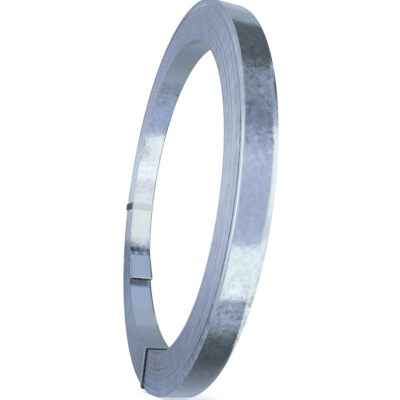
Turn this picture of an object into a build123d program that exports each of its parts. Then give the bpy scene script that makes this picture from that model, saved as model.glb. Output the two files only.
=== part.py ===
from build123d import *
from math import asin, cos, hypot, radians, sin
import os

# A ribbon-wound coil of steel strip. Sizes are in millimetres, angles in degrees.
# The coil is drawn lying flat, its axis along Z and its near side face up.
# Angles run anticlockwise from +X. The winding grows clockwise from the bore.

# The strip and how it is wound
strip_width = 32.0
strip_thickness = 0.8
bore_diameter = 380.0
turn_count = 60

# Turns that lie sideways of each other, so that the side faces show them as rings
inner_turns = 2
outer_turns = 9
ring_turns = 5
inner_shift = 0.2
outer_shift = 0.5
ring_shifts = (-0.1, 0.3, 0.0, 0.4, -0.3, 0.2, -0.4, 0.1, 0.4, -0.2)

# One turn set back on both sides parts the outermost turns from the rest
groove_turns = 1
groove_depth = 3.0

# The strip's two ends
scroll_arcs = 8
tab_angle = -167.4
tab_sweep = 15.2
tab_lift = 10.0
tab_root_sweep = 1.0
outer_end_angle = 164.5

# The narrow tie straps round the section, and the sleeve that closes each
tie_angles = (170.5, -103.7)
tie_width = 10.0
tie_thickness = 0.5
tie_gap = 0.2
tie_corner = 0.4
tie_overlap = 28.0
seal_length = 18.0
seal_wall = 0.6
seal_gap = 0.1
crimp_width = 2.4
crimp_depth = 0.5
crimp_spacing = 8.0

full_turn = 360.0
bore_radius = bore_diameter / 2
outer_radius = bore_radius + turn_count * strip_thickness
half_width = strip_width / 2
all_shifts = ring_shifts + (inner_shift, outer_shift)
near_height = half_width + max(all_shifts)
far_height = -half_width + min(all_shifts)


def polar(radius, angle):
    """The point at a radius and an angle round the coil's axis."""
    return (radius * cos(radians(angle)), radius * sin(radians(angle)))


def scroll_radius(start_radius, start_angle, angle):
    """The radius of a turn that starts at start_angle and grows clockwise."""
    swept = (start_angle - angle) % full_turn
    return start_radius + strip_thickness * swept / full_turn


def scroll_face(start_radius, start_angle):
    """The area inside one growing turn, with the step where its end lies."""
    arc_sweep = full_turn / scroll_arcs

    def point(swept):
        radius = start_radius + strip_thickness * swept / full_turn
        return polar(radius, start_angle - swept)

    arcs = []
    for index in range(scroll_arcs):
        swept = index * arc_sweep
        middle = swept + arc_sweep / 2
        arcs.append(ThreePointArc(point(swept), point(middle), point(swept + arc_sweep)))
    end_step = Line(point(full_turn), point(0))
    return make_face([edge for line in arcs + [end_step] for edge in line.edges()])


def across_strip(sketch, shift):
    """A solid one strip width tall, lying sideways of the middle by shift."""
    return Pos(0, 0, shift - half_width) * extrude(sketch, amount=strip_width)


def ring_bounds():
    """The inner radius, outer radius, near height and far height of each middle ring."""
    start = bore_radius + inner_turns * strip_thickness
    end = outer_radius - (outer_turns + groove_turns) * strip_thickness
    bounds = []
    while end - start > strip_thickness / 2:
        shift = ring_shifts[len(bounds) % len(ring_shifts)]
        stop = min(start + ring_turns * strip_thickness, end)
        bounds.append((start, stop, half_width + shift, shift - half_width))
        start = stop
    set_back = half_width - groove_depth
    bounds.append((end, end + groove_turns * strip_thickness, set_back, -set_back))
    return bounds


def middle_rings():
    """The turns between the bore and the outermost bundle, turned in one piece."""
    near = []
    far = []
    for inner, outer, top, bottom in ring_bounds():
        near += [(inner, top), (outer, top)]
        far += [(inner, bottom), (outer, bottom)]
    outline = near + far[::-1]
    corners = [outline[0]]
    for point in outline[1:]:
        if point != corners[-1]:
            corners.append(point)
    profile = Plane.XZ * make_face(Polyline(*corners, close=True).edges())
    return revolve(profile, axis=Axis.Z)


def inner_bundle():
    """The turns at the bore, with the step where the strip starts."""
    ring = Circle(bore_radius + inner_turns * strip_thickness)
    return across_strip(ring - scroll_face(bore_radius, tab_angle), inner_shift)


def outer_bundle():
    """The outermost turns, with the step where the strip ends."""
    rim = scroll_face(outer_radius - strip_thickness, outer_end_angle)
    return across_strip(rim - Circle(outer_radius - outer_turns * strip_thickness), outer_shift)


def inner_tab():
    """The strip's inner end, bent off the bore wall and cut square."""
    root_in = polar(bore_radius, tab_angle)
    root_out = polar(bore_radius + strip_thickness, tab_angle)
    end_in = polar(bore_radius - tab_lift, tab_angle + tab_sweep)
    run_x = end_in[0] - root_in[0]
    run_y = end_in[1] - root_in[1]
    run = hypot(run_x, run_y)
    end_out = (
        end_in[0] + strip_thickness * run_y / run,
        end_in[1] - strip_thickness * run_x / run,
    )
    held_angle = tab_angle - tab_root_sweep
    held_out = polar(bore_radius + strip_thickness, held_angle)
    held_in = polar(bore_radius + strip_thickness / 2, held_angle)
    corners = (root_in, end_in, end_out, root_out, held_out, held_in)
    return across_strip(make_face(Polyline(*corners, close=True).edges()), inner_shift)


def coil():
    """The wound coil as one solid with its bore."""
    return middle_rings() + inner_bundle() + outer_bundle() + inner_tab()


def tie_run(angle):
    """The radii of a strap's inner face at the bore and at the rim."""
    flat_drop = cos(asin(tie_width / 2 / bore_radius))
    bore_wall = scroll_radius(bore_radius, tab_angle, angle) * flat_drop
    rim_wall = scroll_radius(outer_radius - strip_thickness, outer_end_angle, angle)
    return bore_wall - tie_gap, rim_wall + tie_gap + seal_wall + seal_gap


def tie_strap(angle):
    """A flat strap bent round the coil's section, its ends lapped on the rim."""
    at_bore, at_rim = tie_run(angle)
    top = near_height + tie_gap
    bottom = far_height - tie_gap
    middle = Pos((at_bore + at_rim) / 2, (top + bottom) / 2)
    hole = RectangleRounded(at_rim - at_bore, top - bottom, tie_corner)
    loop = RectangleRounded(
        at_rim - at_bore + 2 * tie_thickness,
        top - bottom + 2 * tie_thickness,
        tie_corner + tie_thickness,
    )
    lap_middle = Pos(at_rim + tie_thickness * 1.5, (top + bottom) / 2)
    lap = lap_middle * Rectangle(tie_thickness, tie_overlap)
    section = Plane.XZ * (middle * loop - middle * hole + lap)
    return Rot(0, 0, angle) * extrude(section, amount=tie_width / 2, both=True)


def tie_seal(angle):
    """The crimped sleeve round a strap's lapped ends."""
    at_rim = tie_run(angle)[1]
    slot_deep = 2 * tie_thickness + 2 * seal_gap
    slot_wide = tie_width + 2 * seal_gap
    body = Rectangle(slot_deep + 2 * seal_wall, slot_wide + 2 * seal_wall)
    sleeve = extrude(body - Rectangle(slot_deep, slot_wide), amount=seal_length / 2, both=True)
    notch = Cylinder(crimp_width / 2, slot_deep + 2 * seal_wall, rotation=(0, 90, 0))
    notch_out = slot_wide / 2 + seal_wall + crimp_width / 2 - crimp_depth
    for side in (-1, 1):
        for end in (-1, 1):
            sleeve -= Pos(0, side * notch_out, end * crimp_spacing / 2) * notch
    middle = (near_height + far_height) / 2
    return Rot(0, 0, angle) * Pos(at_rim + tie_thickness, 0, middle) * sleeve


def stand_up(shape):
    """Turn a flat-lying shape so that the near side face looks along -Y."""
    return Rot(90, 0, 0) * shape


pieces = {"coil": stand_up(coil())}
for number, angle in enumerate(tie_angles, start=1):
    pieces[f"tie_strap_{number}"] = stand_up(tie_strap(angle))
    pieces[f"tie_seal_{number}"] = stand_up(tie_seal(angle))

boxes = [shape.bounding_box() for shape in pieces.values()]
middle_x = (min(box.min.X for box in boxes) + max(box.max.X for box in boxes)) / 2
middle_y = (min(box.min.Y for box in boxes) + max(box.max.Y for box in boxes)) / 2
floor = min(box.min.Z for box in boxes)
print("coil axis at", -middle_x, -middle_y, -floor)

os.makedirs("parts", exist_ok=True)
for name, shape in pieces.items():
    placed = Pos(-middle_x, -middle_y, -floor) * shape
    export_step(placed, f"parts/{name}.step")
    print(name, len(placed.solids()), round(placed.volume))
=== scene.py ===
import bpy
import math
from mathutils import Matrix, Vector


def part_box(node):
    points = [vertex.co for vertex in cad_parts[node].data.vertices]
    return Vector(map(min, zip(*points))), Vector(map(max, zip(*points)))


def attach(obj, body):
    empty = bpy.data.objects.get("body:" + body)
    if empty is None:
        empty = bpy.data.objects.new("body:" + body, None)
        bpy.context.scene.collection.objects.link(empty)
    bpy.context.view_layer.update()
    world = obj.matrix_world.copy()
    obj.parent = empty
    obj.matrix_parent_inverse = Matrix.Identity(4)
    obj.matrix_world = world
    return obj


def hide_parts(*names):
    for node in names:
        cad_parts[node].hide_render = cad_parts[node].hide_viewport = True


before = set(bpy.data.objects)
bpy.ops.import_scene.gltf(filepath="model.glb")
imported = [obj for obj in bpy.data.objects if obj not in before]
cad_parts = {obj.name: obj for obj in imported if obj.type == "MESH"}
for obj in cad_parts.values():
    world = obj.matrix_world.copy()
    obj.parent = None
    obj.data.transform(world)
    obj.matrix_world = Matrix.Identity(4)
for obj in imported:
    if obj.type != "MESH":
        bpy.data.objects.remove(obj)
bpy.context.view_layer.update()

print("frame loaded")

# The coil stands on its rim: its axis runs along Y, and the near side face looks along -Y.
# Angles run from +X towards +Z, as seen from -Y, and the winding grows clockwise. Lengths are in
# metres and angles in degrees, here and in the dictionaries further down.
coil = {
    "boreRadius": 0.190,
    "rimRadius": 0.23799,
    "axisHeight": 0.23777,
    "rimDrop": 0.00043,          # the last turn reaches this much less far at the right
    "stripWidth": 0.032,
    "fullTurns": 59,
    "startAngle": -167.4,        # where the strip leaves the bore wall as a tab
    "tailSweep": 28.1,           # how far the outer end runs on past that angle
    "tailSteps": 16,
    "stepsPerTurn": 200,
    "pointsPerTurn": 3,          # the edges' points lie on thirds of a turn, the grooves on whole turns
    "edgeCuts": 100,             # the most that subdivide makes, so 34 of the turns show a groove
    "wallCuts": 7,
    "grooveDepth": 0.00012,
    # How the turns wander sideways: how far, how many times in a turn, and the start in radians
    "wanders": ((0.000025, 0.113, 1.0), (0.00002, 0.371, 0.0), (0.00001, 2.43, 0.0)),
    "bundleTurns": 9,            # the outermost turns, parted from the rest by a gap
    "bundleShift": 0.00030,
    "bundleStep": 0.5,           # turns over which the strip steps sideways to the bundle
    "gapTurns": 2.34,            # how wide the gap is
    "gapDepth": 0.0050,          # its depth where it stands open
    "gapShallow": 0.0006,        # and where it is nearly shut
    "gapMiddle": -20,            # the middle of where it stands open
    "gapHalfSpan": 22,
    "slopeStart": 1.8,           # turns past the gap at which the bundle starts to lie back
    "slopeTurns": 5.0,
    "slopeStep": 0.00016,        # how far back it lies for each turn
    "spinShort": 0.0005,         # radians short of a full turn, so that the spin's ends stay apart
    "mergeDistance": 0.00002,    # points nearer each other than this are one
    "smoothAngle": 30,
}

tab = {
    "length": 0.0500,
    "leanStart": 0.0,            # degrees off the bore wall's tangent
    "leanEnd": 19.0,
    "bendLength": 0.005,
    "bendSteps": 4,
    "straightSteps": 6,
    "lipLength": 0.0009,
    "lipLean": -14.0,
    "trim": 0.0016,              # cut off the near edge at the tab's end
    "trimStart": 0.002,          # the stretch along the tab that is trimmed
    "trimEnd": 0.06,
    "wallClear": 0.0001,         # a point this far inside the bore wall is the tab's at its root,
    "wallClearRise": 0.02,       # and one this much further in for each metre along it
}


def hexColour(code):
    def toLinear(value):
        return value / 12.92 if value <= 0.04045 else ((value + 0.055) / 1.055) ** 2.4
    parts = [int(code[i:i + 2], 16) / 255 for i in (1, 3, 5)]
    return (*[toLinear(part) for part in parts], 1.0)


def addNode(tree, kind, inputs=None, **settings):
    # An input takes another node's output, a hex colour or a plain value
    node = tree.nodes.new(kind)
    for key, value in settings.items():
        setattr(node, key, value)
    for key, value in (inputs or {}).items():
        if isinstance(value, bpy.types.NodeSocket):
            tree.links.new(value, node.inputs[key])
        elif isinstance(value, str):
            node.inputs[key].default_value = hexColour(value)
        else:
            node.inputs[key].default_value = value
    return node


def emptyMaterial(name):
    material = bpy.data.materials.new(name)
    material.use_nodes = True
    material.node_tree.nodes.clear()
    return material, material.node_tree


def newMaterial(name):
    material, tree = emptyMaterial(name)
    shader = addNode(tree, "ShaderNodeBsdfPrincipled")
    addNode(tree, "ShaderNodeOutputMaterial", {"Surface": shader.outputs["BSDF"]})
    return material, tree, shader


def deselectAll():
    if bpy.context.mode != "OBJECT":
        bpy.ops.object.mode_set(mode="OBJECT")
    bpy.ops.object.select_all(action="DESELECT")


def editMode(piece):
    deselectAll()
    piece.select_set(True)
    bpy.context.view_layer.objects.active = piece
    bpy.ops.object.mode_set(mode="EDIT")
    bpy.ops.mesh.select_mode(type="VERT")
    bpy.ops.mesh.select_all(action="DESELECT")


def selectVertices(piece, test):
    bpy.ops.mesh.select_all(action="DESELECT")
    bpy.ops.object.mode_set(mode="OBJECT")
    for vertex in piece.data.vertices:
        vertex.select = test(vertex)
    bpy.ops.object.mode_set(mode="EDIT")


def startPlane(name):
    # A flat sheet one metre square, in edit mode with all of it selected
    deselectAll()
    bpy.ops.mesh.primitive_plane_add(size=1)
    sheet = bpy.context.object
    sheet.name = name
    editMode(sheet)
    bpy.ops.mesh.select_all(action="SELECT")
    return sheet


def polar(radius, angle):
    return radius * math.cos(angle), radius * math.sin(angle)


# Winding: one section spun round the axis, and its points then moved so that the turns grow

turnsToRim = coil["fullTurns"] + 1 + coil["tailSweep"] / 360
turnPitch = (coil["rimRadius"] - coil["boreRadius"]) / turnsToRim
startAngle = math.radians(coil["startAngle"])
bundleStart = coil["fullTurns"] - coil["bundleTurns"]
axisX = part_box("coil")[1][0] - coil["rimRadius"] + coil["rimDrop"]
axisCentre = Vector((axisX, 0, coil["axisHeight"]))
# Where the tab leaves the bore wall, from the coil's axis, and the wall's own direction there
tabRoot = Vector((math.cos(startAngle), 0, math.sin(startAngle))) * coil["boreRadius"]
tabTangent = Vector((-math.sin(startAngle), 0, math.cos(startAngle)))


def turnShift(turn):
    # How far the strip lies towards the near side, after so many turns from the bore
    wander = 0
    for height, cycles, phase in coil["wanders"]:
        wander += height * math.sin(2 * math.pi * cycles * turn + phase)
    blend = min(max((turn - bundleStart) / coil["bundleStep"], 0), 1)
    shift = wander * (1 - blend) + coil["bundleShift"] * blend
    past = min(turn - bundleStart - coil["slopeStart"], coil["slopeTurns"])
    return shift - coil["slopeStep"] * max(past, 0)


def gapOpening(angle):
    # The gap inside the outermost bundle stands open at the right, and is nearly shut elsewhere
    degreesRound = math.degrees(math.atan2(math.sin(angle), math.cos(angle)))
    return max(1 - ((degreesRound - coil["gapMiddle"]) / coil["gapHalfSpan"]) ** 4, 0.0)


def woundPlace(x, y, z):
    # Where a point of the spun ring goes. The turns grow clockwise from the seam at the start angle,
    # and jog back to it in one step of the spin.
    spun = math.atan2(-z, x) % (2 * math.pi)
    column = round((math.hypot(x, z) - coil["boreRadius"]) / turnPitch * coil["pointsPerTurn"])
    turn = column / coil["pointsPerTurn"] + spun / (2 * math.pi)
    angle = startAngle - spun
    half = coil["stripWidth"] / 2
    side = -y / half
    inward = 0.0
    if column % coil["pointsPerTurn"] == 0:
        inward = coil["grooveDepth"]
    gapEnd = bundleStart + 0.01   # a little past its last point, against rounding
    if bundleStart - coil["gapTurns"] <= turn < gapEnd:
        opening = gapOpening(angle)
        inward += coil["gapShallow"] * (1 - opening) + coil["gapDepth"] * opening
    if abs(side) > 0.999:   # only the strip's edges, not the cuts between them
        side *= 1 - inward / half
    away = side * half + turnShift(turn)
    across, up = polar(coil["boreRadius"] + turnPitch * turn, angle)
    return Vector((axisX + across, -away, coil["axisHeight"] + up))


def makeWinding():
    width = coil["fullTurns"] * turnPitch
    middleRadius = coil["boreRadius"] + width / 2
    piece = startPlane("stripWinding")
    bpy.ops.transform.resize(value=(width, coil["stripWidth"], 1))
    bpy.ops.transform.translate(value=(middleRadius, 0, 0))
    bpy.ops.mesh.delete(type="ONLY_FACE")
    half = coil["stripWidth"] / 2
    bpy.ops.mesh.select_mode(type="EDGE")
    for level in (-half, half):
        bpy.ops.object.mode_set(mode="OBJECT")
        for edge in piece.data.edges:
            ends = [piece.data.vertices[i].co for i in edge.vertices]
            edge.select = all(abs(end.y - level) < coil["mergeDistance"] for end in ends)
        bpy.ops.object.mode_set(mode="EDIT")
        bpy.ops.mesh.subdivide(number_cuts=coil["edgeCuts"])
    bpy.ops.object.mode_set(mode="OBJECT")
    for edge in piece.data.edges:
        ends = [piece.data.vertices[i].co for i in edge.vertices]
        edge.select = abs(ends[0].y - ends[1].y) > half
    bpy.ops.object.mode_set(mode="EDIT")
    bpy.ops.mesh.subdivide(number_cuts=coil["wallCuts"])
    bpy.ops.mesh.select_mode(type="VERT")
    bpy.ops.mesh.select_all(action="SELECT")
    bpy.ops.mesh.spin(
        steps=coil["stepsPerTurn"],
        angle=2 * math.pi - coil["spinShort"],
        center=(0, 0, 0),
        axis=(0, 1, 0),
    )
    bpy.ops.object.mode_set(mode="OBJECT")
    for vertex in piece.data.vertices:
        vertex.co = woundPlace(*vertex.co)
    editMode(piece)
    bpy.ops.mesh.select_all(action="SELECT")
    bpy.ops.mesh.remove_doubles(threshold=coil["mergeDistance"])
    return piece


def closeEnd(piece, atBore):
    # Fills the half of the open seam that is nearer the bore or the rim, and leaves that face selected
    middle = (coil["boreRadius"] + coil["rimRadius"]) / 2
    bpy.ops.mesh.select_all(action="DESELECT")
    bpy.ops.mesh.select_non_manifold()
    bpy.ops.object.mode_set(mode="OBJECT")
    for vertex in piece.data.vertices:
        near = math.hypot(vertex.co.x - axisX, vertex.co.z - coil["axisHeight"]) < middle
        if near != atBore:
            vertex.select = False
    for edge in piece.data.edges:
        edge.select = all(piece.data.vertices[i].select for i in edge.vertices) and edge.select
    for face in piece.data.polygons:
        face.select = False
    bpy.ops.object.mode_set(mode="EDIT")
    bpy.ops.mesh.edge_face_add()


def onTab(place, root):
    along = (place - root).dot(tabTangent)
    reach = math.hypot(place.x - axisX, place.z - coil["axisHeight"])
    clear = coil["boreRadius"] - tab["wallClear"] - tab["wallClearRise"] * along
    return tab["trimStart"] < along < tab["trimEnd"] and reach < clear


def makeTab(piece):
    # A wedge drawn out of the seam's inner half, so that no gap is open behind the tab
    closeEnd(piece, True)
    straight = tab["length"] - tab["bendLength"]
    lengths = [tab["bendLength"] / tab["bendSteps"]] * tab["bendSteps"]
    lengths += [straight / tab["straightSteps"]] * tab["straightSteps"]
    for index, length in enumerate(lengths):
        bent = min((index + 1) / tab["bendSteps"], 1)
        lean = tab["leanStart"] + (tab["leanEnd"] - tab["leanStart"]) * bent
        heading = startAngle + math.radians(90 + lean)
        across, up = polar(length, heading)
        bpy.ops.mesh.extrude_region_move(TRANSFORM_OT_translate={"value": (across, 0, up)})
    lipHeading = startAngle + math.radians(90 + tab["lipLean"])
    across, up = polar(tab["lipLength"], lipHeading)
    bpy.ops.mesh.extrude_region_move(TRANSFORM_OT_translate={"value": (across, 0, up)})
    # The near edge is trimmed back towards the end
    root = axisCentre + tabRoot
    selectVertices(piece, lambda vertex: vertex.co.y < 0 and onTab(vertex.co, root))
    bpy.ops.object.mode_set(mode="OBJECT")
    for vertex in piece.data.vertices:
        if vertex.select:
            share = (vertex.co - root).dot(tabTangent) / tab["length"]
            vertex.co.y += tab["trim"] * share * min(-vertex.co.y / (coil["stripWidth"] / 2), 1)
    bpy.ops.object.mode_set(mode="EDIT")


def makeTail(piece):
    # The seam's outer half goes on clockwise, inside the turns that are there already
    closeEnd(piece, False)
    step = math.radians(coil["tailSweep"] / coil["tailSteps"])
    for index in range(coil["tailSteps"]):
        bpy.ops.mesh.extrude_region_move(TRANSFORM_OT_translate={"value": (0, 0, 0)})
        bpy.ops.transform.rotate(value=-step, orient_axis="Y", center_override=axisCentre)


def makeCoil():
    piece = makeWinding()
    makeTab(piece)
    makeTail(piece)
    bpy.ops.mesh.select_all(action="SELECT")
    bpy.ops.mesh.normals_make_consistent(inside=False)
    bpy.ops.object.mode_set(mode="OBJECT")
    bpy.ops.object.shade_smooth_by_angle(angle=math.radians(coil["smoothAngle"]))
    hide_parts("coil")
    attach(piece, "root")
    return piece


coilPiece = makeCoil()
print("coil wound:", len(coilPiece.data.vertices), "points", len(coilPiece.data.polygons), "faces")


def roundPlace(tree):
    # Object coordinates, with the middle of the coil's axis at the origin
    place = addNode(tree, "ShaderNodeTexCoord").outputs["Object"]
    centred = addNode(tree, "ShaderNodeMapping", {"Vector": place, "Location": -axisCentre})
    return centred.outputs["Vector"]


def roundParts(tree, place):
    # How far a point lies along the axis, its heading round the coil, and its distance from the axis
    parts = addNode(tree, "ShaderNodeSeparateXYZ", {"Vector": place}).outputs
    heading = addNode(tree, "ShaderNodeMath", {0: parts["Z"], 1: parts["X"]}, operation="ARCTAN2")
    flat = addNode(tree, "ShaderNodeCombineXYZ", {"X": parts["X"], "Z": parts["Z"]})
    reach = addNode(tree, "ShaderNodeVectorMath", {0: flat.outputs["Vector"]}, operation="LENGTH")
    return parts["Y"], heading.outputs["Value"], reach.outputs["Value"]


def roundZone(tree, heading, middle, halfSpan, soft):
    # 1 within halfSpan degrees of the middle, 0 past it, with an edge that is soft degrees wide
    away = addNode(tree, "ShaderNodeMath", {0: heading, 1: math.radians(middle)}, operation="SUBTRACT")
    wrapped = addNode(tree, "ShaderNodeMath", {
        0: away.outputs["Value"], 1: -math.pi, 2: math.pi}, operation="WRAP")
    size = addNode(tree, "ShaderNodeMath", {0: wrapped.outputs["Value"]}, operation="ABSOLUTE")
    return addNode(tree, "ShaderNodeMapRange", {
        "Value": size.outputs["Value"],
        "From Min": math.radians(halfSpan + soft / 2),
        "From Max": math.radians(halfSpan - soft / 2),
    }, interpolation_type="SMOOTHSTEP").outputs["Result"]


def nearTo(tree, value, middle, full, none, blend="LINEAR"):
    # 1 up to the distance full from the middle, and 0 from the distance none on
    away = addNode(tree, "ShaderNodeMath", {0: value, 1: middle}, operation="SUBTRACT")
    size = addNode(tree, "ShaderNodeMath", {0: away.outputs["Value"]}, operation="ABSOLUTE")
    return addNode(tree, "ShaderNodeMapRange", {
        "Value": size.outputs["Value"],
        "From Min": none,
        "From Max": full,
    }, interpolation_type=blend).outputs["Result"]


def mottled(tree, place, scale, detail, dull, bright):
    # A noise, and the colour that it gives between two near tones: each is its noise level and colour
    noise = addNode(tree, "ShaderNodeTexNoise", {
        "Vector": place, "Scale": scale, "Detail": detail, "Roughness": 0.6}).outputs["Fac"]
    ramp = addNode(tree, "ShaderNodeValToRGB", {"Fac": noise})
    for stop, (level, code) in zip(ramp.color_ramp.elements, (dull, bright)):
        stop.position = level
        stop.color = hexColour(code)
    return noise, ramp.outputs["Color"]


def addFlecks(tree, place, colour, zone, shift, code, detail, lowest):
    # Flecks of about 7 mm over a colour, inside a zone. The shift keeps one set off the others.
    moved = addNode(tree, "ShaderNodeMapping", {"Vector": place, "Location": (shift, 0, 0)})
    speck = addNode(tree, "ShaderNodeTexNoise", {
        "Vector": moved.outputs["Vector"], "Scale": 150, "Detail": detail, "Roughness": 0.7})
    level = addNode(tree, "ShaderNodeMapRange", {
        "Value": speck.outputs["Fac"], "From Min": lowest, "From Max": 0.66})
    amount = addNode(tree, "ShaderNodeMath", {0: level.outputs["Result"], 1: zone}, operation="MULTIPLY")
    return addNode(tree, "ShaderNodeMix", {
        0: amount.outputs["Value"], 6: colour, 7: code}, data_type="RGBA").outputs[2]


# The strip's faces. A noise of scale 100 has clouds of about 10 mm.
zinc = {
    "mottleScale": 160,                  # 6 mm
    "dull": (0.34, "#C8D0D7"),
    "bright": (0.62, "#D8E3E0"),
    "boreReach": 0.1918,                 # what lies nearer the axis than this is bore wall or tab
    "wallReach": 0.1885,                 # and past the tab's end, what lies further out is the wall
    "boreColour": "#E4EAEB",
    # Flecks of zinc tone and painted reflection: the zone's middle and half its span, the shift, the
    # colour
    "fleckSoft": 12,
    "flecks": (
        (9, 15, 0.0, "#F6FAFA"),
        (9, 15, 0.3, "#A6AEB8"),
        (-43, 9, 0.6, "#98A0AA"),
        (-43, 9, 0.9, "#F2F6F6"),
        (121, 13, 1.2, "#BDC7D3"),
        (121, 13, 1.5, "#FFFFFF"),
        (158, 9, 1.8, "#D0D4DE"),
    ),
    # Painted shade in blotches across the tab's bend, with the distances from it at which it fades
    "bendShadeScale": 190,                 # 5 mm, drawn out to 12 mm along the strip
    "bendShadeFade": (0.0048, 0.0082),
    "bendShadeColour": "#828B98",
    # Painted shadow in a band past the tab's end and in a sliver beside the tab's near edge: the middle
    # of each, by its distance from the bend, and the distances from that middle at which it fades
    "shadowBand": (0.0558, 0.0052, 0.0060),
    "shadowSliver": (0.0430, 0.0084, 0.0086),
    "sliverEdge": -0.0130,
    "tabShadowColour": "#CCD8E2",
    # Far-edge lines, painted shade and painted highlight: where they start and are full across the
    # strip, and the zone
    "edgeShadeLine": (0.0138, 0.0150, 155, 32, 12),
    "edgeShadeColour": "#93A09F",
    "highlightLine": (0.0115, 0.0135, -6, 12, 8),
    "highlightColour": "#EEF4FA",
    # Relief: 2.5 mm grit and 14 mm waves, each with its depth and its depth where the rim was knocked
    "gritScale": 420,
    "gritDepth": (0.00009, 0.00017),
    "waveScale": 70,
    "waveDepth": (0.0002, 0.0005),
    "knockedZones": ((12, 12, 8), (-57, 14, 10)),
    # The far edge drops away past dropStart, by dropAmount times the square of the distance past it,
    # and that fades out between two headings
    "dropStart": 0.0100,
    "dropAmount": 33.0,
    "dropFade": (12.03, 20.05),
    "roughness": (0.13, 0.07),           # in the mottle's dull and its bright clouds
}


def bendShadeMask(tree, place, along):
    # Painted shade in the crease where the tab bends off the bore wall, broken into blotches
    band = nearTo(tree, along, 0.0, *zinc["bendShadeFade"], blend="SMOOTHSTEP")
    stretched = addNode(tree, "ShaderNodeMapping", {"Vector": place, "Scale": (0.45, 1.0, 0.45)})
    blotch = addNode(tree, "ShaderNodeTexNoise", {
        "Vector": stretched.outputs["Vector"],
        "Scale": zinc["bendShadeScale"],
        "Detail": 2,
        "Roughness": 0.5,
    })
    broken = addNode(tree, "ShaderNodeMapRange", {
        "Value": blotch.outputs["Fac"], "From Min": 0.32, "From Max": 0.64}).outputs["Result"]
    return addNode(tree, "ShaderNodeMath", {0: band, 1: broken}, operation="MULTIPLY").outputs["Value"]


def tabShadowMask(tree, along, side, reach):
    # Painted shadow on the bore wall: a band past the tab's end, and a sliver beside its near edge
    band = nearTo(tree, along, *zinc["shadowBand"])
    shadowSliver = nearTo(tree, along, *zinc["shadowSliver"])
    nearEdge = addNode(tree, "ShaderNodeMath", {0: side, 1: zinc["sliverEdge"]}, operation="LESS_THAN")
    beside = addNode(tree, "ShaderNodeMath", {
        0: shadowSliver, 1: nearEdge.outputs["Value"]}, operation="MULTIPLY")
    paintedShadow = addNode(tree, "ShaderNodeMath", {
        0: band, 1: beside.outputs["Value"]}, operation="MAXIMUM")
    onWall = addNode(tree, "ShaderNodeMath", {0: reach, 1: zinc["wallReach"]}, operation="GREATER_THAN")
    return addNode(tree, "ShaderNodeMath", {
        0: paintedShadow.outputs["Value"], 1: onWall.outputs["Value"]}, operation="MULTIPLY").outputs["Value"]


def edgeMask(tree, side, heading, start, full, *zone):
    # A line along the strip's far edge, inside a zone round the coil
    line = addNode(tree, "ShaderNodeMapRange", {"Value": side, "From Min": start, "From Max": full})
    inZone = roundZone(tree, heading, *zone)
    return addNode(tree, "ShaderNodeMath", {
        0: line.outputs["Result"], 1: inZone}, operation="MULTIPLY").outputs["Value"]


def stripRelief(tree, place, side, heading):
    # Grit and waves in the zinc, deeper where the rim was knocked, and the far edge that drops away
    zones = [roundZone(tree, heading, *zone) for zone in zinc["knockedZones"]]
    knocked = addNode(tree, "ShaderNodeMath", {
        0: zones[0], 1: zones[1]}, operation="MAXIMUM").outputs["Value"]
    normal = None
    for scale, detail, roughness, (shallow, deep) in (
        (zinc["gritScale"], 4, 0.65, zinc["gritDepth"]),
        (zinc["waveScale"], 2, 0.5, zinc["waveDepth"]),
    ):
        noise = addNode(tree, "ShaderNodeTexNoise", {
            "Vector": place, "Scale": scale, "Detail": detail, "Roughness": roughness})
        depth = addNode(tree, "ShaderNodeMapRange", {
            "Value": knocked, "To Min": shallow, "To Max": deep})
        relief = {"Height": noise.outputs["Fac"], "Strength": 1.0, "Distance": depth.outputs["Result"]}
        if normal:
            relief["Normal"] = normal
        normal = addNode(tree, "ShaderNodeBump", relief).outputs["Normal"]
    past = addNode(tree, "ShaderNodeMath", {0: side, 1: zinc["dropStart"]}, operation="SUBTRACT")
    past = addNode(tree, "ShaderNodeMath", {0: past.outputs["Value"], 1: 0.0}, operation="MAXIMUM")
    drop = addNode(tree, "ShaderNodeMath", {0: past.outputs["Value"], 1: 2.0}, operation="POWER")
    fadeStart, fadeEnd = zinc["dropFade"]
    amount = addNode(tree, "ShaderNodeMapRange", {
        "Value": heading,
        "From Min": math.radians(fadeStart),
        "From Max": math.radians(fadeEnd),
        "To Min": -zinc["dropAmount"],
        "To Max": 0.0,
    })
    drop = addNode(tree, "ShaderNodeMath", {
        0: drop.outputs["Value"], 1: amount.outputs["Result"]}, operation="MULTIPLY")
    return addNode(tree, "ShaderNodeBump", {
        "Height": drop.outputs["Value"], "Strength": 1.0, "Distance": 1.0, "Normal": normal,
    }).outputs["Normal"]


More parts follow.
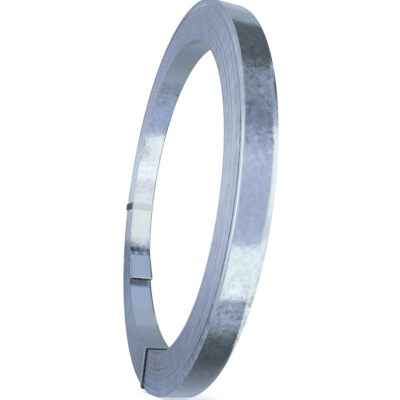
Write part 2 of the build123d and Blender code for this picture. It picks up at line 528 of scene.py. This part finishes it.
def makeStripFace():
    # Hot-dip galvanised steel strip: bright zinc with fine mottling, a little wavy between its edges,
    # so that what it mirrors breaks up into flecks and blotches
    material, tree, shader = newMaterial("galvanisedStripFace")
    place = roundPlace(tree)
    side, heading, reach = roundParts(tree, place)
    mottle, colour = mottled(tree, place, zinc["mottleScale"], 5, zinc["dull"], zinc["bright"])
    # The bore wall lay against the winding drum and stayed brighter than the rim
    inBore = addNode(tree, "ShaderNodeMath", {
        0: reach, 1: zinc["boreReach"]}, operation="LESS_THAN").outputs["Value"]
    colour = addNode(tree, "ShaderNodeMix", {
        0: inBore, 6: colour, 7: zinc["boreColour"]}, data_type="RGBA").outputs[2]
    # Flecks in zones round the coil: varied zinc tone, and painted reflection where bright and dark
    # patches fall
    for middle, halfSpan, shift, code in zinc["flecks"]:
        zone = roundZone(tree, heading, middle, halfSpan, zinc["fleckSoft"])
        colour = addFlecks(tree, place, colour, zone, shift, code, 4, 0.50)
    # Painted shade and shadow on the bore wall and the tab alone
    fromRoot = addNode(tree, "ShaderNodeVectorMath", {0: place, 1: tabRoot}, operation="SUBTRACT")
    along = addNode(tree, "ShaderNodeVectorMath", {
        0: fromRoot.outputs["Vector"], 1: tabTangent}, operation="DOT_PRODUCT").outputs["Value"]
    for mask, code in (
        (bendShadeMask(tree, place, along), zinc["bendShadeColour"]),
        (tabShadowMask(tree, along, side, reach), zinc["tabShadowColour"]),
        (edgeMask(tree, side, heading, *zinc["edgeShadeLine"]), zinc["edgeShadeColour"]),
    ):
        amount = addNode(tree, "ShaderNodeMath", {0: mask, 1: inBore}, operation="MULTIPLY")
        colour = addNode(tree, "ShaderNodeMix", {
            0: amount.outputs["Value"], 6: colour, 7: code}, data_type="RGBA").outputs[2]
    # A painted highlight along the far edge of the rim
    paintedHighlight = edgeMask(tree, side, heading, *zinc["highlightLine"])
    colour = addNode(tree, "ShaderNodeMix", {
        0: paintedHighlight, 6: colour, 7: zinc["highlightColour"]}, data_type="RGBA").outputs[2]
    inDull, inBright = zinc["roughness"]
    rough = addNode(tree, "ShaderNodeMapRange", {"Value": mottle, "To Min": inDull, "To Max": inBright})
    tree.links.new(colour, shader.inputs["Base Color"])
    tree.links.new(stripRelief(tree, place, side, heading), shader.inputs["Normal"])
    tree.links.new(rough.outputs["Result"], shader.inputs["Roughness"])
    shader.inputs["Metallic"].default_value = 1.0
    return material


# The turns' edges on the side faces
slitEdge = {
    "mottleScale": 90,                   # 11 mm
    "dull": (0.35, "#BCC3D2"),
    "bright": (0.65, "#CDD3E2"),
    # The middle of where the gap stands open, how far from it the rings are full, and where they end
    "openZone": (-20.63, 19.48, 26.36),
    # Rings of painted shade in the gap and of painted highlight outside it: the radius, the distances
    # from it at which the ring fades, and the colour
    "openRings": (
        (0.2290, 0.0010, 0.0015, "#5C646E"),
        (0.2340, 0.0014, 0.0021, "#F0F6FC"),
    ),
    "litZone": (157, 14, 10),
    "litColour": "#D8DEE6",
    # Scuffs on the outermost turns, low on the right: their zone, radii, shifts and colours
    "scuffZone": (-57, 15, 10),
    "scuffReach": (0.2270, 0.2310),
    "scuffs": ((0.2, "#A3ABBA"), (0.5, "#E6ECF4")),
    "roughness": 0.24,
    "leastNormal": 0.3,                  # a polygon that looks this much along Y is part of an edge
}


def makeTurnEdges():
    # The strip's slit edges, turn on turn: bare steel greyed by zinc, so a softer sheen than the faces
    material, tree, shader = newMaterial("slitTurnEdges")
    place = roundPlace(tree)
    heading, reach = roundParts(tree, place)[1:]
    colour = mottled(tree, place, slitEdge["mottleScale"], 6, slitEdge["dull"], slitEdge["bright"])[1]
    # Painted shade in the gap where it stands open, and a painted highlight on the turns outside it
    middle, full, none = [math.radians(angle) for angle in slitEdge["openZone"]]
    isOpen = nearTo(tree, heading, middle, full, none)
    for radius, ringFull, ringNone, code in slitEdge["openRings"]:
        ring = nearTo(tree, reach, radius, ringFull, ringNone)
        amount = addNode(tree, "ShaderNodeMath", {0: ring, 1: isOpen}, operation="MULTIPLY")
        colour = addNode(tree, "ShaderNodeMix", {
            0: amount.outputs["Value"], 6: colour, 7: code}, data_type="RGBA").outputs[2]
    # High on the left the edges are lighter: a painted highlight
    litZoneMask = roundZone(tree, heading, *slitEdge["litZone"])
    colour = addNode(tree, "ShaderNodeMix", {
        0: litZoneMask, 6: colour, 7: slitEdge["litColour"]}, data_type="RGBA").outputs[2]
    low = roundZone(tree, heading, *slitEdge["scuffZone"])
    scuffStart, scuffFull = slitEdge["scuffReach"]
    onBundle = addNode(tree, "ShaderNodeMapRange", {
        "Value": reach, "From Min": scuffStart, "From Max": scuffFull})
    scuffed = addNode(tree, "ShaderNodeMath", {
        0: low, 1: onBundle.outputs["Result"]}, operation="MULTIPLY").outputs["Value"]
    for shift, code in slitEdge["scuffs"]:
        colour = addFlecks(tree, place, colour, scuffed, shift, code, 5, 0.46)
    tree.links.new(colour, shader.inputs["Base Color"])
    shader.inputs["Metallic"].default_value = 1.0
    shader.inputs["Roughness"].default_value = slitEdge["roughness"]
    return material


# The ties' finishes: the nodes, where the tie lies round the coil, and how its run in the bore
# looks, lighter there as a painted reflection. A strap has a painted highlight from the line set for
# it to its clockwise edge, and that line is measured from the strap's middle.
ties = {
    "tieSteelLightInBore": {
        "nodes": ("tie_strap_1", "tie_seal_1"),
        "angle": 170.5,
        "boreColour": "#E6EEEE",
        "boreIsMetallic": True,
        "highlightFrom": -0.006,            # past the strap's edge, so none of it has the painted highlight
    },
    "varnishedTieSteel": {
        "nodes": ("tie_strap_2", "tie_seal_2"),
        "angle": -103.7,
        "boreColour": "#59626F",
        "boreIsMetallic": False,
        "highlightFrom": 0.0005,
    },
}
tieSteel = {
    "mottleScale": 300,                  # 3 mm
    "dull": (0.35, "#303845"),
    "bright": (0.65, "#434D5B"),
    "boreRun": (0.1915, 0.1895),         # the radii between which the run in the bore starts
    "highlightSoft": 0.0003,
    "highlightColour": "#D6DCE2",
    "specular": 0.1,                     # the dull varnish mirrors little
    "roughness": 0.5,
}


def makeTieSteel(name, tie):
    # Narrow steel strapping with blue-black varnish, which looks dull and dark, lighter on the run
    # that lies in the bore as a painted reflection, and on some with a painted highlight along one edge
    material, tree, shader = newMaterial(name)
    place = roundPlace(tree)
    colour = mottled(tree, place, tieSteel["mottleScale"], 4, tieSteel["dull"], tieSteel["bright"])[1]
    # The run in the bore is lighter, a painted reflection
    outside, inside = tieSteel["boreRun"]
    inBore = addNode(tree, "ShaderNodeMapRange", {
        "Value": roundParts(tree, place)[2], "From Min": outside, "From Max": inside}).outputs["Result"]
    colour = addNode(tree, "ShaderNodeMix", {
        0: inBore, 6: colour, 7: tie["boreColour"]}, data_type="RGBA").outputs[2]
    # A painted highlight along one edge, from the line set for the tie to its clockwise edge
    angle = math.radians(tie["angle"])
    across = addNode(tree, "ShaderNodeVectorMath", {
        0: place, 1: (-math.sin(angle), 0, math.cos(angle))}, operation="DOT_PRODUCT")
    paintedHighlight = addNode(tree, "ShaderNodeMapRange", {
        "Value": across.outputs["Value"],
        "From Min": tie["highlightFrom"] + tieSteel["highlightSoft"],
        "From Max": tie["highlightFrom"] - tieSteel["highlightSoft"],
    }).outputs["Result"]
    colour = addNode(tree, "ShaderNodeMix", {
        0: paintedHighlight, 6: colour, 7: tieSteel["highlightColour"]}, data_type="RGBA").outputs[2]
    tree.links.new(colour, shader.inputs["Base Color"])
    tree.links.new(inBore if tie["boreIsMetallic"] else paintedHighlight, shader.inputs["Metallic"])
    shader.inputs["Specular IOR Level"].default_value = tieSteel["specular"]
    shader.inputs["Roughness"].default_value = tieSteel["roughness"]
    return material


coilPiece.data.materials.clear()
coilPiece.data.materials.append(makeStripFace())
coilPiece.data.materials.append(makeTurnEdges())
for face in coilPiece.data.polygons:
    face.material_index = 1 if abs(face.normal.y) > slitEdge["leastNormal"] else 0

for name, tie in ties.items():
    finish = makeTieSteel(name, tie)
    for node in tie["nodes"]:
        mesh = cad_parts[node].data
        mesh.materials.clear()
        mesh.materials.append(finish)
print("finishes on")


# Camera: found from the six round edges in the photograph
camera = {
    "place": (2.61018, -0.78695, -0.77435),   # from the coil's centre, in rim radii
    "right": (0.34227, 0.93873, 0.04056),
    "up": (0.23990, -0.12905, 0.96218),
    "back": (0.90846, -0.31959, -0.26936),
    "lens": 48.09,
    "sensor": 36.0,
    "shift": -0.0025,
}


def makeCamera():
    data = bpy.data.cameras.new("photoCamera")
    data.lens = camera["lens"]
    data.sensor_width = camera["sensor"]
    data.sensor_fit = "HORIZONTAL"
    data.clip_start = 0.01
    data.shift_x = camera["shift"]
    holder = bpy.data.objects.new("photoCamera", data)
    bpy.context.collection.objects.link(holder)
    turn = Matrix((camera["right"], camera["up"], camera["back"])).transposed().to_4x4()
    place = axisCentre + coil["rimRadius"] * Vector(camera["place"])
    holder.matrix_world = Matrix.Translation(place) @ turn
    bpy.context.scene.camera = holder


makeCamera()


# Studio: what the camera sees round the coil, and what only the metal mirrors
stage = {
    "floorLow": (-0.30, -0.35),
    "floorHigh": (0.43, 0.40),
    "floorColour": "#F2F2F2",
    "floorGlow": 0.40,
    "worldColour": "#E4E8F0",
    "worldStrength": 0.75,
    "lampPlace": (0.3, -1.4, 1.6),
    "lampSize": 1.2,
    "lampPower": 16,
    "tentRadius": 3.0,
    "tentColour": "#A8B5C7",
    # Panels of the tent: the middle's azimuth and elevation, half their spans, edge softness, colour
    "panels": (
        (30, 80, 70, 8, 6, "#ACB9DA"),
        (22, 62, 34, 13, 6, "#AAB8D8"),
        (18, 34, 26, 12, 10, "#B0BDE0"),
        (70, -12, 50, 36, 8, "#F2F6FA"),
        (-2, -9, 22, 39, 5, "#F8F9FA"),
        (14, -28, 10, 9, 8, "#E8EAF2"),
        (150, 48, 22, 10, 10, "#C4CADA"),
        (158, -20, 16, 30, 12, "#8A96A4"),
        (-124, 20, 22, 24, 8, "#FFFFFF"),
        (-156, 13, 9, 13, 7, "#C9D0EE"),
        (-173, 21, 10, 7, 4, "#EAFFF4"),
        (94, 42, 26, 10, 8, "#545C66"),
        (-158, -16, 30, 12, 6, "#908C8C"),
        (-176, 33, 14, 9, 6, "#818FA9"),
    ),
    # The board: its top's size and middle, how its outer edge then goes down and in, how much
    # narrower it is there, and how it drops from there beside the rim
    "boardSize": (0.141, 0.17, 1),
    "boardMiddle": (0.2395, 0.055, 0.52),
    "boardBend": (-0.005, -0.028, -0.12),
    "boardNarrowing": 0.38,
    "boardDrop": (-0.005, 0, -0.325),
    # Colours up the board: height, colour. The span is the heights that the colour ramp covers.
    "boardSpan": (0.0, 0.6),
    "boardColours": (
        (0.08, "#CCD2F2"),
        (0.15, "#C2C8E8"),
        (0.228, "#D0D5F2"),
        (0.282, "#8A92AE"),
        (0.346, "#98A0B4"),
        (0.433, "#99A1B3"),
        (0.48, "#6E747D"),
        (0.52, "#666D76"),
    ),
    # The mat's two oblongs, each with its size and middle, and the mat's colours along X with the
    # span that the colour ramp covers
    "matParts": (
        ((0.530, 0.47, 1), (-0.035, -0.165, 0.001)),
        ((0.32, 0.15, 1), (-0.14, 0.145, 0.001)),
    ),
    "matSpan": (-0.3, 0.3),
    "matColours": (
        (-0.25, "#8E99AA"),
        (-0.10, "#A6B6D6"),
        (0.05, "#A9B2C6"),
        (0.08, "#8C939E"),
        (0.12, "#575E65"),
        (0.155, "#656C73"),
        (0.19, "#B2BBD2"),
        (0.226, "#B4BCD6"),
    ),
    # Two upright cards behind the coil: their x, span in y, height and colours by height
    "cards": (
        ("sideCard", -0.30, (-0.13, -0.005), 0.235, (
            (0.0, "#7F7D7A"),
            (0.05, "#8A95A2"),
            (0.12, "#96A9C0"),
            (0.17, "#8093A8"),
            (0.21, "#768898"),
        )),
        ("backCard", -0.35, (0.02, 0.30), 0.70, (
            (0.0, "#98A3AF"),
            (0.09, "#94A0B0"),
            (0.18, "#8996A3"),
            (0.33, "#8592A0"),
            (0.43, "#919FAF"),
            (0.57, "#909DAF"),
            (0.68, "#A0AFC4"),
        )),
    ),
}


def hideFromAllButGloss(thing):
    thing.visible_camera = False
    thing.visible_diffuse = False
    thing.visible_shadow = False
    thing.visible_transmission = False


def seenDirectly(tree):
    # 1 for what the camera sees, straight or by way of a mirror, and 0 for the light that falls
    path = addNode(tree, "ShaderNodeLightPath").outputs
    seen = addNode(tree, "ShaderNodeMath", {
        0: path["Is Camera Ray"], 1: path["Is Glossy Ray"]}, operation="ADD")
    return addNode(tree, "ShaderNodeMath", {
        0: seen.outputs["Value"],
        1: path["Is Transmission Ray"],
    }, operation="ADD", use_clamp=True).outputs["Value"]


def glowMaterial(name, axis, low, high, colours):
    # Even light from a soft board, its colour changing along one axis between low and high
    material, tree = emptyMaterial(name)
    place = addNode(tree, "ShaderNodeTexCoord").outputs["Object"]
    part = addNode(tree, "ShaderNodeSeparateXYZ", {"Vector": place}).outputs[axis]
    share = addNode(tree, "ShaderNodeMapRange", {"Value": part, "From Min": low, "From Max": high})
    ramp = addNode(tree, "ShaderNodeValToRGB", {"Fac": share.outputs["Result"]})
    stops = ramp.color_ramp.elements
    while len(stops) < len(colours):
        stops.new(0.5)
    for stop, (level, code) in zip(stops, colours):
        stop.position = (level - low) / (high - low)
    for stop, (level, code) in zip(stops, colours):
        stop.color = hexColour(code)
    glow = addNode(tree, "ShaderNodeEmission", {"Color": ramp.outputs["Color"]})
    addNode(tree, "ShaderNodeOutputMaterial", {"Surface": glow.outputs["Emission"]})
    return material


def makeBoards():
    # A soft board stands beside the rim and bends over it, and a mat lies under the coil. Only the
    # metal mirrors them.
    board = startPlane("bentBoard")
    bpy.ops.transform.resize(value=stage["boardSize"])
    bpy.ops.transform.translate(value=stage["boardMiddle"])
    selectVertices(board, lambda vertex: vertex.co.x > stage["boardMiddle"][0])
    bpy.ops.mesh.select_mode(type="EDGE")
    bpy.ops.mesh.extrude_region_move(TRANSFORM_OT_translate={"value": stage["boardBend"]})
    bpy.ops.transform.resize(value=(1, stage["boardNarrowing"], 1))
    bpy.ops.mesh.extrude_region_move(TRANSFORM_OT_translate={"value": stage["boardDrop"]})
    bpy.ops.object.mode_set(mode="OBJECT")
    finish = glowMaterial("softBoard", "Z", *stage["boardSpan"], stage["boardColours"])
    board.data.materials.append(finish)
    hideFromAllButGloss(board)

    mat = startPlane("underMat")
    for index, (size, middle) in enumerate(stage["matParts"]):
        if index > 0:
            bpy.ops.mesh.select_all(action="DESELECT")
            bpy.ops.mesh.primitive_plane_add(size=1)
        bpy.ops.transform.resize(value=size)
        bpy.ops.transform.translate(value=middle)
    bpy.ops.object.mode_set(mode="OBJECT")
    finish = glowMaterial("slateMat", "X", *stage["matSpan"], stage["matColours"])
    mat.data.materials.append(finish)
    hideFromAllButGloss(mat)

    for name, x, (lowY, highY), height, colours in stage["cards"]:
        card = startPlane(name)
        bpy.ops.transform.rotate(value=math.pi / 2, orient_axis="Y", center_override=(0, 0, 0))
        bpy.ops.transform.resize(value=(1, highY - lowY, height))
        bpy.ops.transform.translate(value=(x, (lowY + highY) / 2, height / 2))
        bpy.ops.object.mode_set(mode="OBJECT")
        card.data.materials.append(glowMaterial(name + "Finish", "Z", 0.0, height, colours))
        hideFromAllButGloss(card)


def makeFloor():
    # A white table top, no larger than what shows of it. It keeps the coil's shadow.
    floor = startPlane("studioFloor")
    (lowX, lowY), (highX, highY) = stage["floorLow"], stage["floorHigh"]
    bpy.ops.transform.resize(value=(highX - lowX, highY - lowY, 1))
    bpy.ops.transform.translate(value=((lowX + highX) / 2, (lowY + highY) / 2, 0))
    bpy.ops.object.mode_set(mode="OBJECT")
    material, tree, shader = newMaterial("whiteTableTop")
    glow = addNode(tree, "ShaderNodeMath", {
        0: seenDirectly(tree), 1: stage["floorGlow"]}, operation="MULTIPLY")
    shader.inputs["Base Color"].default_value = hexColour(stage["floorColour"])
    shader.inputs["Roughness"].default_value = 0.9
    shader.inputs["Emission Color"].default_value = hexColour("#FFFFFF")
    tree.links.new(glow.outputs["Value"], shader.inputs["Emission Strength"])
    floor.data.materials.append(material)


def makeTent():
    # A studio tent of soft panels all round. Only the metal mirrors it: the camera looks past it.
    deselectAll()
    bpy.ops.mesh.primitive_uv_sphere_add(
        segments=48, ring_count=24, radius=stage["tentRadius"], location=axisCentre)
    tent = bpy.context.object
    bpy.ops.object.transform_apply(location=True)
    tent.name = "studioTent"
    hideFromAllButGloss(tent)
    material, tree = emptyMaterial("softPanels")
    unit = addNode(tree, "ShaderNodeVectorMath", {0: roundPlace(tree)}, operation="NORMALIZE")
    parts = addNode(tree, "ShaderNodeSeparateXYZ", {"Vector": unit.outputs["Vector"]}).outputs
    azimuth = addNode(tree, "ShaderNodeMath", {0: parts["Y"], 1: parts["X"]}, operation="ARCTAN2")
    elevation = addNode(tree, "ShaderNodeMath", {0: parts["Z"]}, operation="ARCSINE")
    colour = stage["tentColour"]
    for middle, height, across, upDown, soft, code in stage["panels"]:
        sideways = roundZone(tree, azimuth.outputs["Value"], middle, across, soft)
        upright = roundZone(tree, elevation.outputs["Value"], height, upDown, soft)
        both = addNode(tree, "ShaderNodeMath", {0: sideways, 1: upright}, operation="MULTIPLY")
        colour = addNode(tree, "ShaderNodeMix", {
            0: both.outputs["Value"], 6: colour, 7: code}, data_type="RGBA").outputs[2]
    glow = addNode(tree, "ShaderNodeEmission", {"Color": colour})
    addNode(tree, "ShaderNodeOutputMaterial", {"Surface": glow.outputs["Emission"]})
    tent.data.materials.append(material)


def makeWorld():
    # A soft grey-blue sky for the light, and plain white where the camera looks
    world = bpy.data.worlds.new("studioWorld")
    bpy.context.scene.world = world
    world.use_nodes = True
    tree = world.node_tree
    tree.nodes.clear()
    soft = addNode(tree, "ShaderNodeBackground", {
        "Color": stage["worldColour"], "Strength": stage["worldStrength"]})
    white = addNode(tree, "ShaderNodeBackground", {"Color": "#FFFFFF", "Strength": 1.0})
    mix = addNode(tree, "ShaderNodeMixShader", {
        "Fac": seenDirectly(tree), 1: soft.outputs["Background"], 2: white.outputs["Background"]})
    addNode(tree, "ShaderNodeOutputWorld", {"Surface": mix.outputs["Shader"]})


def makeLamp():
    data = bpy.data.lights.new("softLamp", "AREA")
    data.shape = "RECTANGLE"
    data.size = stage["lampSize"]
    data.size_y = stage["lampSize"]
    data.energy = stage["lampPower"]
    lamp = bpy.data.objects.new("softLamp", data)
    bpy.context.collection.objects.link(lamp)
    lamp.location = stage["lampPlace"]
    heading = axisCentre - Vector(stage["lampPlace"])
    lamp.rotation_euler = heading.to_track_quat("-Z", "Y").to_euler()
    lamp.visible_glossy = False


makeFloor()
makeTent()
makeBoards()
makeWorld()
makeLamp()
bpy.context.scene.view_settings.view_transform = "Standard"
print("stage set")
